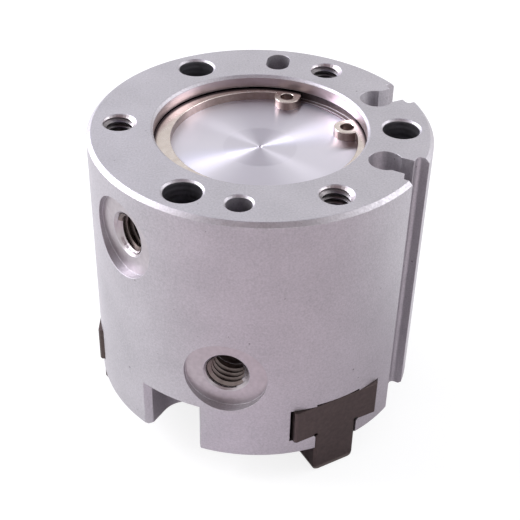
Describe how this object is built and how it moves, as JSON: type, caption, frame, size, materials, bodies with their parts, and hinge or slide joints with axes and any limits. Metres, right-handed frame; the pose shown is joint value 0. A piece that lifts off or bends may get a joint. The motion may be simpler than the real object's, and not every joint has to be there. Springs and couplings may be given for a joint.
{
  "type": "three jaw centric gripper",
  "caption": "Round pneumatic gripper whose jaws slide to the centre together, driven by a piston and wedge cam, with a flat mounting face and side air ports.",
  "frame": {"origin": "centre of the flat mounting face, on the gripper's axis", "axes": "+Z out of the mounting face, towards the robot; the jaws point to -Z; +X through one of the clear mounting holes"},
  "size_m": [0.042, 0.042, 0.0396],
  "materials": {
    "anodised_aluminium": "bead blasted and clear anodised",
    "turned_aluminium": "face turned",
    "hard_anodised_aluminium": "hard anodised",
    "plated_spring_steel": "nickel plated",
    "stainless_sheet": "brushed",
    "stainless_rod": "ground",
    "screw_steel": "black oxide",
    "nitrided_steel": "nitrided and ground",
    "sintered_magnet": "sintered",
    "nitrile_rubber": "moulded",
    "urethane_rubber": "moulded",
    "guide_resin": "moulded"
  },
  "bodies": {
    "housing": {"body": "anodised_aluminium", "end_cap": "turned_aluminium", "end_cap_seal": "nitrile_rubber", "retaining_ring": "plated_spring_steel", "rod_seal": "nitrile_rubber", "end_plate": "stainless_sheet", "end_plate_screw_1": "screw_steel", "end_plate_screw_2": "screw_steel", "end_plate_screw_3": "screw_steel"},
    "piston_group": {"piston": "hard_anodised_aluminium", "piston_seal": "nitrile_rubber", "piston_magnet": "sintered_magnet", "wear_ring": "guide_resin", "upper_bumper": "urethane_rubber", "lower_bumper": "urethane_rubber", "piston_rod": "stainless_rod", "wedge_cam": "nitrided_steel", "cam_screw": "screw_steel"},
    "jaw_slide_1": {"jaw_1": "nitrided_steel"},
    "jaw_slide_2": {"jaw_2": "nitrided_steel"},
    "jaw_slide_3": {"jaw_3": "nitrided_steel"}
  },
  "joints": [
    {"name": "piston_slide", "type": "slide", "parent": "housing", "child": "piston_group", "axis": [0, 0, 1], "range_m": [0, 0.004]},
    {"name": "jaw_1_slide", "type": "slide", "parent": "housing", "child": "jaw_slide_1", "axis": [-0.5, -0.866, 0], "range_m": [0, 0.003]},
    {"name": "jaw_2_slide", "type": "slide", "parent": "housing", "child": "jaw_slide_2", "axis": [1, 0, 0], "range_m": [0, 0.003]},
    {"name": "jaw_3_slide", "type": "slide", "parent": "housing", "child": "jaw_slide_3", "axis": [-0.5, 0.866, 0], "range_m": [0, 0.003]}
  ],
  "couplings": [
    {"joint": "jaw_1_slide", "follows": "piston_slide", "ratio": 0.75},
    {"joint": "jaw_2_slide", "follows": "piston_slide", "ratio": 0.75},
    {"joint": "jaw_3_slide", "follows": "piston_slide", "ratio": 0.75}
  ]
}
